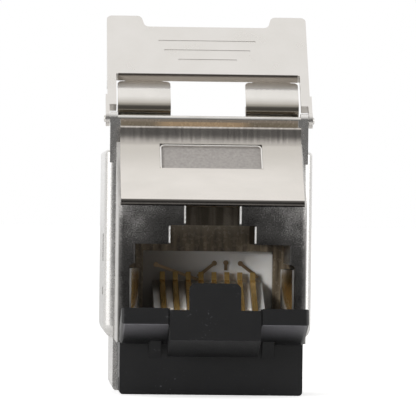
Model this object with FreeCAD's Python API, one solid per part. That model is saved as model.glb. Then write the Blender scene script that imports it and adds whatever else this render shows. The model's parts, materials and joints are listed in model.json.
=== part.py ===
import FreeCAD
import Part
import math
import os

from FreeCAD import Vector

# Shielded keystone jack, assembled without tools, with a hinged metal lid over the wire
# manager and a dust flap below the port. Millimetres. X runs across the jack, Y from the
# port's mouth towards the cable, Z up. The origin is on the port's axis, in the front face.

# ---- driving dimensions ------------------------------------------------------------------

# Port, an eight-way modular socket with its plug's latch uppermost
PORT_WIDTH = 11.9
PORT_HEIGHT = 6.8
KEYWAY_WIDTH = 6.5          # room for the plug's latch
KEYWAY_HEIGHT = 1.45
UPPER_NOTCH_WIDTH = 4.15    # room for the latch's root
UPPER_NOTCH_DEPTH = 2.0

# Front housing, a zinc casting
SNOUT_WIDTH = 14.6
SNOUT_LENGTH = 7.9
SNOUT_FLOOR = 0.8
SNOUT_CORNER = 0.5
SPRING_POCKET_DEPTH = 0.45
SPRING_POCKET_TOP = 1.9
SPRING_POCKET_BOTTOM = -2.9
SPRING_POCKET_ROUND = 0.4
MOUTH_CHAMFER = 0.12

# Panel latch, a leaf that springs about its front edge
LEAF_SIDE_GAP = 0.225        # narrower than the snout on each side
LEAF_THICKNESS = 0.6
LEAF_ANGLE = 40.3
LEAF_RUN = 5.3
LEAF_ROOT_Y = 0.36
LEAF_ROOT_Z = 6.6
LEAF_TRAVEL = 6.0
LEAF_UNDER_GAP = 0.1
CATCH_RISE = 1.2
CATCH_THICKNESS = 0.7
CATCH_HOLLOW = 0.9
LABEL_WIDTH = 8.0
LABEL_LENGTH = 2.9
LABEL_DEPTH = 0.15
LABEL_CENTRE = 5.15         # along the slope from the front edge

# Rear housing, a zinc casting open at the top and at the cable's end
BODY_WIDTH = 16.4
BODY_LENGTH = 16.6
BODY_TOP = 10.7
BODY_WALL = 0.9
BODY_CORNER = 0.95
BODY_RIM_ROUND = 0.3
BODY_LOWER_CORNER = 1.1
FOOT_INSET = 0.8
SIDE_RECESS_DEPTH = 0.25
SIDE_RECESS_LENGTH = 2.6
SIDE_RECESS_START = 1.3
SIDE_RECESSES = ((1.9, 4.1), (-0.75, -0.1))
RAIL_WIDTH = 0.8
RAIL_HEIGHT = 0.9

# Lid hinge
HINGE_Y = 8.5
HINGE_Z = 13.15
HINGE_PIN_R = 0.3
HINGE_BAR_DEPTH = 1.2
CHEEK_INSET = 1.0           # from the tub's side
CHEEK_THICKNESS = 0.6
CHEEK_R = 0.55
PIN_PROUD = 0.15
RUNNING_CLEARANCE = 0.05

# Lid, opened to OPEN_ANGLE above the level
LUG_PROUD = 0.15            # of the lugs outside the plate
LID_THICKNESS = 0.75
LID_UNDER = -0.35           # the plate's underside, from the hinge axis
LID_LENGTH = 11.55
LID_EAR_LENGTH = 1.25
LID_EAR_WIDTH = 2.76
LID_EAR_SLOPE = 0.3
LID_CORNER = 0.45
LID_BAY_LENGTH = 4.75
LID_ARM_WIDTH = 0.7
LID_ARM_START = 1.25
LUG_THICKNESS = 0.3
LUG_R = 0.6
LUG_LENGTH = 2.4
FLANGE_THICKNESS = 0.4
OPEN_ANGLE = 45.0
CLOSED_ANGLE = -10.0
GRIP_LENGTHS = (4.65, 6.85, 7.75)
GRIP_START = 6.46
GRIP_PITCH = 1.09
GRIP_WIDTH = 0.16
GRIP_DEPTH = 0.1

# Lid spring, a sheet below the plate with two curled tongues
TONGUE_SIDE_GAP = 0.125
TONGUE_GAP = 5.95
TONGUE_THICKNESS = 0.35
TONGUE_CURL_R = 0.72
TONGUE_CURL_AT = 2.34
TONGUE_RETURN = 0.7
TONGUE_SHOULDER = 0.35
TONGUE_NECK_INSET = 0.6
TONGUE_END = 4.68
STRIP_START = 5.1
STRIP_LENGTH = 2.4

# Base block and dust flap, black plastic
BASE_INSET = 0.25
BASE_HEIGHT = 4.0
BASE_CORNER = 0.3
PANEL_GROOVE_START = 1.8
PANEL_GROOVE_WIDTH = 2.0
PANEL_GROOVE_DEPTH = 1.2
PEG_R = 0.8
PEG_LENGTH = 1.5
PEG_SPACING = 9.0
FLAP_INSET = 0.2
FLAP_LENGTH = 6.13
FLAP_THICKNESS = 1.3
FLAP_PIVOT_Y = -0.55
FLAP_PIVOT_Z = -3.5
FLAP_PIN_R = 0.3
FLAP_REST_ANGLE = 15.5
FLAP_CORNER = 0.3
FLAP_FACE_GAP = 0.05
FLAP_TAB_WIDTH = 3.9
FLAP_TAB_HEIGHT = 1.95
FLAP_TAB_THICKNESS = 0.9
FLAP_TAB_CHAMFER = 0.3
FLAP_BOSS_WIDTH = 6.9
FLAP_BOSS_DEPTH = 1.2
FLAP_BOSS_START = 0.9
FLAP_LUG_INNER = 3.9
FLAP_LUG_THICKNESS = 0.9
FLAP_LUG_FOOT = 1.2
FLAP_LUG_SINK = 0.2
FLAP_LUG_R = 0.5
FLAP_SLOT_GAP = 0.1
FLAP_SLOT_REACH = 1.0
FLAP_SEAM_WIDTH = 0.12
FLAP_SEAM_DEPTH = 0.15
FLAP_STEP = 0.15

# Contacts, their insert and the shield springs
CONTACTS = 8
CONTACT_PITCH = 1.016
CONTACT_WIRE = 0.4
CONTACT_FRONT = 2.4
CONTACT_LOW = -3.0
CONTACT_REAR = 8.2
CONTACT_HIGH = 0.4
CONTACT_TIP = 0.7
CONTACT_TAIL_Y = 11.2
CROSSOVER_WIDTH = 0.24
CROSSOVER_HEAD_R = 0.2
CROSSOVER_HEAD_PROUD = 0.08
CROSSOVER_PROUD = 0.16
CROSSOVER_SUNK = 0.3
CROSSOVERS = (((-4.05, 1.7), (-0.6, 0.5)), ((0.55, 1.85), (-0.75, 0.8)),
              ((1.45, 1.9), (1.45, 1.3)), ((2.6, 1.85), (4.0, 0.75)))
INSERT_WIDTH = 10.2
INSERT_TOP = 2.8
INSERT_FRONT = 1.6
INSERT_FLOOR = 0.8
INSERT_WALL_FRONT = 8.9
INSERT_BACK = 10.2
RIB_WIDTH = 0.5
RIB_FRONT = 3.9
SHIELD_SPRING_SHEET = 0.15
SHIELD_SPRING_FRONT = 0.5
SHIELD_SPRING_LENGTH = 6.4
SHIELD_SPRING_BOW = 0.7
SHIELD_SPRING_GAP = 0.05

# Circuit board and wire termination
BOARD_THICKNESS = 1.0
BOARD_FRONT = 10.4
BOARD_END_GAP = 0.5
BOARD_SIDE_GAP = 0.1
IDC_BLOCK_FRONT = 11.8
IDC_BLOCK_END_GAP = 0.4
IDC_BLOCK_SIDE_GAP = 0.5
IDC_BLOCK_HEIGHT = 6.3
IDC_GROOVE_WIDTH = 4.4
IDC_GROOVE_DEPTH = 3.0
IDC_PER_SIDE = 4
IDC_END = 0.95              # from the block's ends to the first and last blades
IDC_SHEET = 0.4
IDC_WIDTH = 2.6
IDC_INSET = 2.6             # from the tub's inner wall
IDC_TOP = 6.6
IDC_SLOT = 0.3
IDC_SLOT_DEPTH = 2.4
IDC_MOUTH = 0.5
MANAGER_SIDE_GAP = 0.4
MANAGER_FRONT = 10.0
MANAGER_OVERHANG = 0.1
MANAGER_BOTTOM = 5.2
MANAGER_TOP = 10.7
MANAGER_SLOT = 1.0
MANAGER_CHANNEL_R = 3.2
MANAGER_NOSE = 2.0
PART_GAP = 0.15

# Cable end
CABLE_Z = 4.5
CABLE_R = 4.5
CLAMP_FROM_BACK = 3.6
CLAMP_THICKNESS = 1.0
CLAMP_BOTTOM = 6.5
CLAMP_TOP = 12.4
CLAMP_GROOVE = 0.4
CLAMP_GAP = 0.1
CLAMP_LIP = 1.3
SADDLE_LENGTH = 4.8
SADDLE_SIDE_GAP = 1.8
SADDLE_TOP = 1.6
EARTH_SPRING_SHEET = 0.25
EARTH_SPRING_WIDTH = 2.8
EARTH_SPRING_SPREAD = 55.0

# ---- places that follow from them --------------------------------------------------------

FACE_BOTTOM = -PORT_HEIGHT / 2 - SNOUT_FLOOR
UNDERSIDE = FACE_BOTTOM - BASE_HEIGHT
BODY_BACK = SNOUT_LENGTH + BODY_LENGTH
BASE_HALF = SNOUT_WIDTH / 2 - BASE_INSET
FLAP_HALF = SNOUT_WIDTH / 2 - FLAP_INSET
LEAF_HALF = SNOUT_WIDTH / 2 - LEAF_SIDE_GAP
CAVITY_HALF = BODY_WIDTH / 2 - BODY_WALL
CAVITY_FRONT = HINGE_Y - HINGE_BAR_DEPTH / 2 + HINGE_BAR_DEPTH
CAVITY_BACK = BODY_BACK - BODY_WALL
CAVITY_FLOOR = FACE_BOTTOM + BODY_WALL
BOARD_BOTTOM = CAVITY_FLOOR + RAIL_HEIGHT
BOARD_TOP = BOARD_BOTTOM + BOARD_THICKNESS
LEAF_BEAD_R = LEAF_THICKNESS * 0.55
KEYWAY_TOP = PORT_HEIGHT / 2 + KEYWAY_HEIGHT
LIP_Z = LEAF_ROOT_Z - 0.25
CHEEK_INNER = BODY_WIDTH / 2 - CHEEK_INSET
CHEEK_OUTER = CHEEK_INNER + CHEEK_THICKNESS
LUG_INNER = CHEEK_OUTER + RUNNING_CLEARANCE
LUG_OUTER = LUG_INNER + LUG_THICKNESS
LID_HALF = LUG_OUTER - LUG_PROUD
TONGUE_OUTER = LID_HALF - LID_ARM_WIDTH - TONGUE_SIDE_GAP
SADDLE_FRONT = BODY_BACK - SADDLE_LENGTH
SADDLE_HALF = CAVITY_HALF - SADDLE_SIDE_GAP
CLAMP_Y = BODY_BACK - CLAMP_FROM_BACK
BOARD_BACK = SADDLE_FRONT - BOARD_END_GAP
IDC_BLOCK_BACK = BOARD_BACK - IDC_BLOCK_END_GAP
IDC_BLOCK_HALF = CAVITY_HALF - IDC_BLOCK_SIDE_GAP
IDC_CENTRE = CAVITY_HALF - IDC_INSET
IDC_FIRST = IDC_BLOCK_FRONT + IDC_END
IDC_PITCH = (IDC_BLOCK_BACK - IDC_END - IDC_FIRST) / (IDC_PER_SIDE - 1)
MANAGER_HALF = CAVITY_HALF - MANAGER_SIDE_GAP
MANAGER_BACK = IDC_BLOCK_BACK + MANAGER_OVERHANG
FLAP_UPPER = -FLAP_PIVOT_Y - FLAP_FACE_GAP
FLAP_LOWER = FLAP_UPPER - FLAP_THICKNESS


# ---- shared shapes -----------------------------------------------------------------------

def box(x, y, z):
    """A block between the given pairs of limits."""
    size = (x[1] - x[0], y[1] - y[0], z[1] - z[0])
    return Part.makeBox(*size, Vector(x[0], y[0], z[0]))


def rod_x(radius, x, y, z):
    """A cylinder along X between the pair of limits x."""
    return Part.makeCylinder(radius, x[1] - x[0], Vector(x[0], y, z), Vector(1, 0, 0))


def rod_y(radius, x, y, z):
    """A cylinder along Y between the pair of limits y."""
    return Part.makeCylinder(radius, y[1] - y[0], Vector(x, y[0], z), Vector(0, 1, 0))


def side_profile(points, x):
    """A closed outline of (Y, Z) points, carried along X between the pair of limits x."""
    corners = [Vector(x[0], y, z) for y, z in points]
    face = Part.Face(Part.makePolygon(corners + corners[:1]))
    return face.extrude(Vector(x[1] - x[0], 0, 0))


def front_profile(points, y):
    """A closed outline of (X, Z) points, carried along Y between the pair of limits y."""
    corners = [Vector(px, y[0], pz) for px, pz in points]
    face = Part.Face(Part.makePolygon(corners + corners[:1]))
    return face.extrude(Vector(0, y[1] - y[0], 0))


def plan_profile(points, z):
    """A closed outline of (X, Y) points, carried along Z between the pair of limits z."""
    corners = [Vector(px, py, z[0]) for px, py in points]
    face = Part.Face(Part.makePolygon(corners + corners[:1]))
    return face.extrude(Vector(0, 0, z[1] - z[0]))


def both_sides(shape):
    """The shape and its mirror image across the middle plane."""
    return [shape, shape.mirror(Vector(0, 0, 0), Vector(1, 0, 0))]


def edges_along(shape, axis, keep):
    """The straight edges along a unit axis whose middle point passes the test keep."""
    found = []
    for edge in shape.Edges:
        if edge.Curve.TypeId != "Part::GeomLine":
            continue
        along = (edge.Vertexes[-1].Point - edge.Vertexes[0].Point).normalize()
        middle = edge.CenterOfMass
        if abs(along.dot(axis)) > 0.999 and keep(middle):
            found.append(edge)
    return found


def ribbon(points, thickness):
    """The outline of a strip of even thickness about a line of (Y, Z) points, square ended."""
    half = thickness / 2
    left = []
    right = []
    last = len(points) - 1
    for i, (y, z) in enumerate(points):
        before = points[max(i - 1, 0)]
        after = points[min(i + 1, last)]
        arrive = _unit(y - before[0], z - before[1]) if i > 0 else _unit(after[0] - y, after[1] - z)
        leave = _unit(after[0] - y, after[1] - z) if i < last else arrive
        normal = _unit(-arrive[1] - leave[1], arrive[0] + leave[0])
        reach = half / (normal[0] * -arrive[1] + normal[1] * arrive[0])
        left.append((y + normal[0] * reach, z + normal[1] * reach))
        right.append((y - normal[0] * reach, z - normal[1] * reach))
    return left + right[::-1]


def _unit(y, z):
    """A (Y, Z) direction of length one."""
    length = math.hypot(y, z)
    return (y / length, z / length)


# ---- front housing and panel latch -------------------------------------------------------

def roof_height(y):
    """The front housing's roof, which the pressed latch leaf clears by LEAF_UNDER_GAP."""
    tilt = math.radians(LEAF_ANGLE - LEAF_TRAVEL)
    below = LEAF_THICKNESS - LEAF_BEAD_R + LEAF_UNDER_GAP
    return LEAF_ROOT_Z + (y - LEAF_ROOT_Y) * math.tan(tilt) - below / math.cos(tilt)


def port_cavity():
    """The plug's room, with the keyway, the upper notch and the pockets for the springs."""
    through = (-1.0, SNOUT_LENGTH + 1.0)
    half = PORT_HEIGHT / 2
    room = box((-PORT_WIDTH / 2, PORT_WIDTH / 2), through, (-half, half))
    room = room.fuse(box((-KEYWAY_WIDTH / 2, KEYWAY_WIDTH / 2), through, (0, KEYWAY_TOP)))
    room = room.fuse(box((-UPPER_NOTCH_WIDTH / 2, UPPER_NOTCH_WIDTH / 2),
                         (-1.0, UPPER_NOTCH_DEPTH), (0, LIP_Z + 1.0)))
    outer = PORT_WIDTH / 2 + SPRING_POCKET_DEPTH
    pockets = box((-outer, outer), through, (SPRING_POCKET_BOTTOM, SPRING_POCKET_TOP))
    corners = edges_along(pockets, Vector(0, 1, 0), lambda m: True)
    pockets = pockets.makeFillet(SPRING_POCKET_ROUND, corners)
    return room.fuse(pockets)


def front_housing():
    """The cast snout round the port, with its roof cut back below the latch leaf."""
    tilt = math.radians(LEAF_ANGLE - LEAF_TRAVEL)
    roof_start = LEAF_ROOT_Y + (LIP_Z - roof_height(LEAF_ROOT_Y)) / math.tan(tilt)
    outline = [(0, FACE_BOTTOM), (0, LIP_Z), (roof_start, LIP_Z),
               (SNOUT_LENGTH, roof_height(SNOUT_LENGTH)), (SNOUT_LENGTH, FACE_BOTTOM)]
    half = SNOUT_WIDTH / 2
    body = side_profile(outline, (-half, half))
    fronts = edges_along(body, Vector(0, 0, 1), lambda m: m.y < 0.01)
    body = body.makeFillet(SNOUT_CORNER, fronts)
    bead_seat = rod_x(LEAF_BEAD_R + RUNNING_CLEARANCE, (-half - 1, half + 1),
                      LEAF_ROOT_Y, LEAF_ROOT_Z)
    return body.cut(bead_seat).cut(port_cavity()).cut(mouth_chamfers())


def mouth_chamfers():
    """The slivers that break the upright edges of the port, the keyway and the upper notch."""
    steps = ((PORT_WIDTH, SPRING_POCKET_TOP, PORT_HEIGHT / 2), (KEYWAY_WIDTH, PORT_HEIGHT / 2, KEYWAY_TOP),
             (UPPER_NOTCH_WIDTH, KEYWAY_TOP, LIP_Z))
    slivers = []
    for width, low, high in steps:
        side = width / 2
        sliver = plan_profile([(side - 1, -1), (side + MOUTH_CHAMFER + 1, -1), (side - 1, MOUTH_CHAMFER + 1)],
                              (low, high))
        slivers += both_sides(sliver)
    return slivers


def latch_leaf():
    """The sloping leaf with its upright catch; it springs about the bead at its front edge."""
    tilt = math.radians(LEAF_ANGLE)
    along = Vector(0, math.cos(tilt), math.sin(tilt))
    up = Vector(0, -math.sin(tilt), math.cos(tilt))
    root = Vector(-LEAF_HALF, LEAF_ROOT_Y, LEAF_ROOT_Z)
    slope = LEAF_RUN / math.cos(tilt)
    top = root + up * LEAF_BEAD_R
    low = root - up * (LEAF_THICKNESS - LEAF_BEAD_R)
    hollow_start = top + along * (slope - CATCH_HOLLOW)
    catch_foot = top + along * slope
    hollow_end = catch_foot + Vector(0, 0, CATCH_HOLLOW)
    hollow_middle = catch_foot + (up - Vector(0, 0.15, 0)) * (CATCH_HOLLOW * 0.22)
    crest = catch_foot + Vector(0, 0, CATCH_RISE)
    back = Vector(root.x, crest.y + CATCH_THICKNESS, crest.z)
    low_run = (back.y - low.y) / math.cos(tilt)
    heel = low + along * low_run
    edges = [
        Part.LineSegment(top, hollow_start).toShape(),
        Part.Arc(hollow_start, hollow_middle, hollow_end).toShape(),
        Part.LineSegment(hollow_end, crest).toShape(),
        Part.LineSegment(crest, back).toShape(),
        Part.LineSegment(back, heel).toShape(),
        Part.LineSegment(heel, low).toShape(),
        Part.LineSegment(low, top).toShape(),
    ]
    leaf = Part.Face(Part.Wire(edges)).extrude(Vector(2 * LEAF_HALF, 0, 0))
    crest_edges = edges_along(leaf, Vector(1, 0, 0), lambda m: m.z > crest.z - 0.01)
    leaf = leaf.makeFillet(CATCH_THICKNESS * 0.3, crest_edges)
    bead = rod_x(LEAF_BEAD_R, (root.x, -root.x), LEAF_ROOT_Y, LEAF_ROOT_Z)
    label = Part.makeBox(LABEL_WIDTH, LABEL_LENGTH, LABEL_DEPTH * 2,
                         Vector(-LABEL_WIDTH / 2, -LABEL_LENGTH / 2, -LABEL_DEPTH))
    label.rotate(Vector(0, 0, 0), Vector(1, 0, 0), LEAF_ANGLE)
    label.translate(Vector(0, top.y, top.z) + along * LABEL_CENTRE)
    return leaf.fuse(bead).removeSplitter().cut(label)


# ---- rear housing ------------------------------------------------------------------------

def cheek():
    """The right-hand ear that holds the lid's hinge pin."""
    x = (CHEEK_INNER, CHEEK_OUTER)
    ear = rod_x(CHEEK_R, x, HINGE_Y, HINGE_Z)
    stem = box(x, (HINGE_Y - CHEEK_R, HINGE_Y + CHEEK_R), (BODY_TOP - 1.0, HINGE_Z))
    return ear.fuse(stem)


def rear_housing():
    """The cast tub behind the port, with the hinge bar, the foot and the cable's saddle."""
    half = BODY_WIDTH / 2
    tub = box((-half, half), (SNOUT_LENGTH, BODY_BACK), (FACE_BOTTOM, BODY_TOP))
    tub = tub.makeFillet(BODY_LOWER_CORNER, edges_along(
        tub, Vector(0, 1, 0), lambda m: m.z < FACE_BOTTOM + 0.01))
    tub = tub.makeFillet(BODY_CORNER, edges_along(tub, Vector(0, 0, 1), lambda m: True))
    tub = tub.makeFillet(BODY_RIM_ROUND, [e for e in tub.Edges if e.BoundBox.ZMin > BODY_TOP - 0.001])
    foot = box((-half + FOOT_INSET, half - FOOT_INSET), (SNOUT_LENGTH, BODY_BACK),
               (UNDERSIDE, FACE_BOTTOM + BODY_LOWER_CORNER))
    foot = foot.makeFillet(BASE_CORNER, edges_along(
        foot, Vector(0, 1, 0), lambda m: m.z < UNDERSIDE + 0.01))
    bar_y = (HINGE_Y - HINGE_BAR_DEPTH / 2, CAVITY_FRONT)
    bar = box((-CHEEK_OUTER, CHEEK_OUTER), bar_y, (BODY_TOP - 1.0, HINGE_Z - CHEEK_R))
    crest = box((-CHEEK_INNER, CHEEK_INNER), bar_y, (BODY_TOP - 1.0, HINGE_Z))
    body = tub.fuse([foot, bar, crest] + both_sides(cheek()))
    cavity = box((-CAVITY_HALF, CAVITY_HALF), (CAVITY_FRONT, CAVITY_BACK),
                 (CAVITY_FLOOR, HINGE_Z + 1.0))
    body = body.cut(cavity)
    rail = box((CAVITY_HALF - RAIL_WIDTH, CAVITY_HALF), (CAVITY_FRONT, SADDLE_FRONT),
               (CAVITY_FLOOR, BOARD_BOTTOM))
    saddle = box((-SADDLE_HALF, SADDLE_HALF), (SADDLE_FRONT, CAVITY_BACK),
                 (CAVITY_FLOOR, SADDLE_TOP))
    body = body.fuse(both_sides(rail) + [saddle]).removeSplitter()
    groove = box((CAVITY_HALF - 0.1, CAVITY_HALF + CLAMP_GROOVE),
                 (CLAMP_Y - CLAMP_GAP, CLAMP_Y + CLAMP_THICKNESS + CLAMP_GAP),
                 (SADDLE_TOP, BODY_TOP + 1.0))
    cuts = both_sides(groove)
    recess_y = (SNOUT_LENGTH + SIDE_RECESS_START, SNOUT_LENGTH + SIDE_RECESS_START + SIDE_RECESS_LENGTH)
    for z in SIDE_RECESSES:
        cuts += both_sides(box((half - SIDE_RECESS_DEPTH, half + 1), recess_y, z))
    cuts.append(box((-INSERT_WIDTH / 2, INSERT_WIDTH / 2), (SNOUT_LENGTH - 1, INSERT_BACK),
                    (-PORT_HEIGHT / 2, INSERT_TOP)))
    cuts.append(rod_x(HINGE_PIN_R, (-CHEEK_OUTER - 1, CHEEK_OUTER + 1), HINGE_Y, HINGE_Z))
    cuts.append(rod_y(CABLE_R, 0, (SADDLE_FRONT - 1, BODY_BACK + 1), CABLE_Z))
    cuts.append(box((-CABLE_R, CABLE_R), (CAVITY_BACK - 0.1, BODY_BACK + 1),
                    (CABLE_Z, BODY_TOP + 1)))
    for x in (-PEG_SPACING / 2, PEG_SPACING / 2):
        cuts.append(rod_y(PEG_R, x, (SNOUT_LENGTH - 1, SNOUT_LENGTH + PEG_LENGTH), peg_height()))
    return body.cut(cuts)


def peg_height():
    """The height of the base block's two pegs."""
    return FACE_BOTTOM - BASE_HEIGHT / 2


# ---- lid, its pin and its spring ---------------------------------------------------------

def opened(shape):
    """Turns a shape made level, with the hinge along X at the origin, to the opened lid's place."""
    placed = shape.copy()
    placed.rotate(Vector(0, 0, 0), Vector(1, 0, 0), OPEN_ANGLE)
    placed.translate(Vector(0, HINGE_Y, HINGE_Z))
    return placed


def lid_flange():
    """The right-hand side flange, tapered so that it closes down onto the tub's side wall."""
    tilt = math.radians(-CLOSED_ANGLE)
    start = LID_BAY_LENGTH + 0.15
    end = LID_LENGTH - LID_EAR_LENGTH

    def depth(u):
        return (BODY_TOP + PART_GAP - HINGE_Z + u * math.sin(tilt)) / math.cos(tilt)

    outline = [(start, LID_UNDER + 0.1), (start, depth(start)), (end, depth(end)),
               (end, LID_UNDER + 0.1)]
    return side_profile(outline, (LID_HALF - FLANGE_THICKNESS, LID_HALF))


def lid():
    """The hinged plate with its two ears, side arms, flanges and engraved grip lines."""
    half = LID_HALF
    middle = LID_LENGTH - LID_EAR_LENGTH
    ear = half - LID_EAR_WIDTH
    z = (LID_UNDER, LID_UNDER + LID_THICKNESS)
    outline = [(-half, LID_BAY_LENGTH), (-half, LID_LENGTH), (-ear, LID_LENGTH),
               (-ear + LID_EAR_SLOPE, middle), (ear - LID_EAR_SLOPE, middle),
               (ear, LID_LENGTH), (half, LID_LENGTH), (half, LID_BAY_LENGTH)]
    plate = plan_profile(outline, z)
    plate = plate.makeFillet(LID_CORNER, edges_along(
        plate, Vector(0, 0, 1), lambda m: m.y > middle - 0.01))
    arm = box((half - LID_ARM_WIDTH, half), (LID_ARM_START, LID_BAY_LENGTH + 0.1), z)
    lug = rod_x(LUG_R, (LUG_INNER, LUG_OUTER), 0, 0)
    lug = lug.fuse(box((LUG_INNER, LUG_OUTER), (0, LUG_LENGTH), z))
    shape = plate.fuse(both_sides(arm) + both_sides(lug) + both_sides(lid_flange()))
    shape = shape.removeSplitter()
    cuts = [rod_x(HINGE_PIN_R + RUNNING_CLEARANCE, (-half - 1, half + 1), 0, 0)]
    for i, length in enumerate(GRIP_LENGTHS):
        u = GRIP_START + i * GRIP_PITCH
        cuts.append(box((-length / 2, length / 2), (u - GRIP_WIDTH / 2, u + GRIP_WIDTH / 2),
                        (z[1] - GRIP_DEPTH, z[1] + 1)))
    return opened(shape.cut(cuts))


def tongue():
    """The right-hand tongue of the lid spring, with its curl and rounded shoulders."""
    x = (TONGUE_GAP / 2, TONGUE_OUTER)
    low = LID_UNDER - TONGUE_THICKNESS
    centre = LID_UNDER - TONGUE_CURL_R
    blade = box(x, (TONGUE_CURL_AT, TONGUE_END), (low, LID_UNDER))
    blade = blade.makeFillet(TONGUE_SHOULDER, edges_along(
        blade, Vector(0, 0, 1), lambda m: m.y > TONGUE_END - 0.01))
    neck = box((x[0] + TONGUE_NECK_INSET, x[1] - TONGUE_NECK_INSET),
               (TONGUE_END - 0.5, STRIP_START + 0.1), (low, LID_UNDER))
    curl = rod_x(TONGUE_CURL_R, x, TONGUE_CURL_AT, centre)
    curl = curl.cut(rod_x(TONGUE_CURL_R - TONGUE_THICKNESS, (x[0] - 1, x[1] + 1),
                          TONGUE_CURL_AT, centre))
    curl = curl.cut(box((x[0] - 1, x[1] + 1), (TONGUE_CURL_AT, TONGUE_CURL_AT + 2),
                        (centre - 1, LID_UNDER + 1)))
    bottom = centre - TONGUE_CURL_R
    tail = box(x, (TONGUE_CURL_AT, TONGUE_CURL_AT + TONGUE_RETURN),
               (bottom, bottom + TONGUE_THICKNESS))
    return blade.fuse([neck, curl, tail])


def lid_spring():
    """One sheet below the lid's plate, whose two tongues press on the wire manager."""
    strip = box((-TONGUE_OUTER, TONGUE_OUTER), (STRIP_START, STRIP_START + STRIP_LENGTH),
                (LID_UNDER - TONGUE_THICKNESS, LID_UNDER))
    return opened(strip.fuse(both_sides(tongue())).removeSplitter())


def lid_hinge_pin():
    """The pin across the hinge bar, through both cheeks and the lid's lugs."""
    reach = LUG_OUTER + PIN_PROUD
    pin = rod_x(HINGE_PIN_R, (-reach, reach), HINGE_Y, HINGE_Z)
    rims = [e for e in pin.Edges if e.Curve.TypeId == "Part::GeomCircle"]
    return pin.makeFillet(HINGE_PIN_R * 0.5, rims)


# ---- base block and dust flap ------------------------------------------------------------

def base_block():
    """The black block below the port, with the panel groove and the flap's two lugs."""
    half = BASE_HALF
    block = box((-half, half), (0, SNOUT_LENGTH), (UNDERSIDE, FACE_BOTTOM))
    block = block.makeFillet(BASE_CORNER, edges_along(
        block, Vector(0, 1, 0), lambda m: m.z < UNDERSIDE + 0.01)
        + edges_along(block, Vector(1, 0, 0), lambda m: m.z < UNDERSIDE + 0.01 and m.y < 0.01))
    groove = box((-half - 1, half + 1),
                 (PANEL_GROOVE_START, PANEL_GROOVE_START + PANEL_GROOVE_WIDTH),
                 (UNDERSIDE - 1, UNDERSIDE + PANEL_GROOVE_DEPTH))
    x = (FLAP_LUG_INNER, FLAP_LUG_INNER + FLAP_LUG_THICKNESS)
    lug = rod_x(FLAP_LUG_R, x, FLAP_PIVOT_Y, FLAP_PIVOT_Z)
    lug = lug.fuse(side_profile(
        [(FLAP_PIVOT_Y - FLAP_LUG_R * 0.5, FLAP_PIVOT_Z - FLAP_LUG_R * 0.8),
         (FLAP_PIVOT_Y + FLAP_LUG_R, FLAP_PIVOT_Z), (0, FACE_BOTTOM),
         (FLAP_LUG_SINK, FACE_BOTTOM), (FLAP_LUG_SINK, FACE_BOTTOM - FLAP_LUG_FOOT),
         (0, FACE_BOTTOM - FLAP_LUG_FOOT)], x))
    pegs = [rod_y(PEG_R, px, (SNOUT_LENGTH - 0.5, SNOUT_LENGTH + PEG_LENGTH), peg_height())
            for px in (-PEG_SPACING / 2, PEG_SPACING / 2)]
    block = block.cut(groove).fuse(both_sides(lug) + pegs).removeSplitter()
    return block.cut(rod_x(FLAP_PIN_R, (-half, half), FLAP_PIVOT_Y, FLAP_PIVOT_Z))


def dust_flap():
    """The flap that closes the port; made level with its pivot at the origin, then raised."""
    half = FLAP_HALF
    z = (FLAP_LOWER, FLAP_UPPER)
    plate = box((-half, half), (-FLAP_LENGTH, 0), z)
    plate = plate.makeFillet(FLAP_CORNER, edges_along(
        plate, Vector(0, 1, 0), lambda m: m.z < FLAP_LOWER + 0.01)
        + edges_along(plate, Vector(0, 0, 1), lambda m: m.y < -FLAP_LENGTH + 0.01))
    knuckle = rod_x(FLAP_UPPER, (-half, half), 0, 0)
    boss_half = FLAP_BOSS_WIDTH / 2
    boss = box((-boss_half, boss_half), (-FLAP_LENGTH, -FLAP_BOSS_START),
               (FLAP_LOWER - FLAP_BOSS_DEPTH, FLAP_LOWER + 0.1))
    tab_half = FLAP_TAB_WIDTH / 2
    tab = front_profile(
        [(-tab_half, 0), (-tab_half, FLAP_UPPER + FLAP_TAB_HEIGHT - FLAP_TAB_CHAMFER),
         (-tab_half + FLAP_TAB_CHAMFER, FLAP_UPPER + FLAP_TAB_HEIGHT),
         (tab_half - FLAP_TAB_CHAMFER, FLAP_UPPER + FLAP_TAB_HEIGHT),
         (tab_half, FLAP_UPPER + FLAP_TAB_HEIGHT - FLAP_TAB_CHAMFER), (tab_half, 0)],
        (-FLAP_LENGTH, -FLAP_LENGTH + FLAP_TAB_THICKNESS))
    shape = plate.fuse([knuckle, boss, tab]).removeSplitter()
    heel = box((-half - 1, half + 1), (0, 2), (-3, -FLAP_UPPER))
    slot = box((FLAP_LUG_INNER - FLAP_SLOT_GAP,
                FLAP_LUG_INNER + FLAP_LUG_THICKNESS + FLAP_SLOT_GAP),
               (-FLAP_SLOT_REACH, 2), (-3, 3))
    pin_hole = rod_x(FLAP_PIN_R + RUNNING_CLEARANCE, (-half - 1, half + 1), 0, 0)
    seam = box((boss_half, boss_half + FLAP_SEAM_WIDTH),
               (-FLAP_LENGTH - 1, -FLAP_LENGTH + FLAP_SEAM_DEPTH), (FLAP_LOWER - 1, FLAP_UPPER + 1))
    step = box((tab_half, boss_half), (-FLAP_LENGTH - 1, -FLAP_LENGTH + FLAP_TAB_THICKNESS),
               (FLAP_UPPER - FLAP_STEP, FLAP_UPPER + 1))
    shape = shape.cut([heel, pin_hole] + both_sides(slot) + both_sides(seam) + both_sides(step))
    shape.rotate(Vector(0, 0, 0), Vector(1, 0, 0), -FLAP_REST_ANGLE)
    shape.translate(Vector(0, FLAP_PIVOT_Y, FLAP_PIVOT_Z))
    return shape


def dust_flap_pin():
    """The pin through the flap and the base block's lugs."""
    reach = FLAP_HALF - FLAP_CORNER
    return rod_x(FLAP_PIN_R, (-reach, reach), FLAP_PIVOT_Y, FLAP_PIVOT_Z)


# ---- contacts, insert and shield springs -------------------------------------------------

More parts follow.
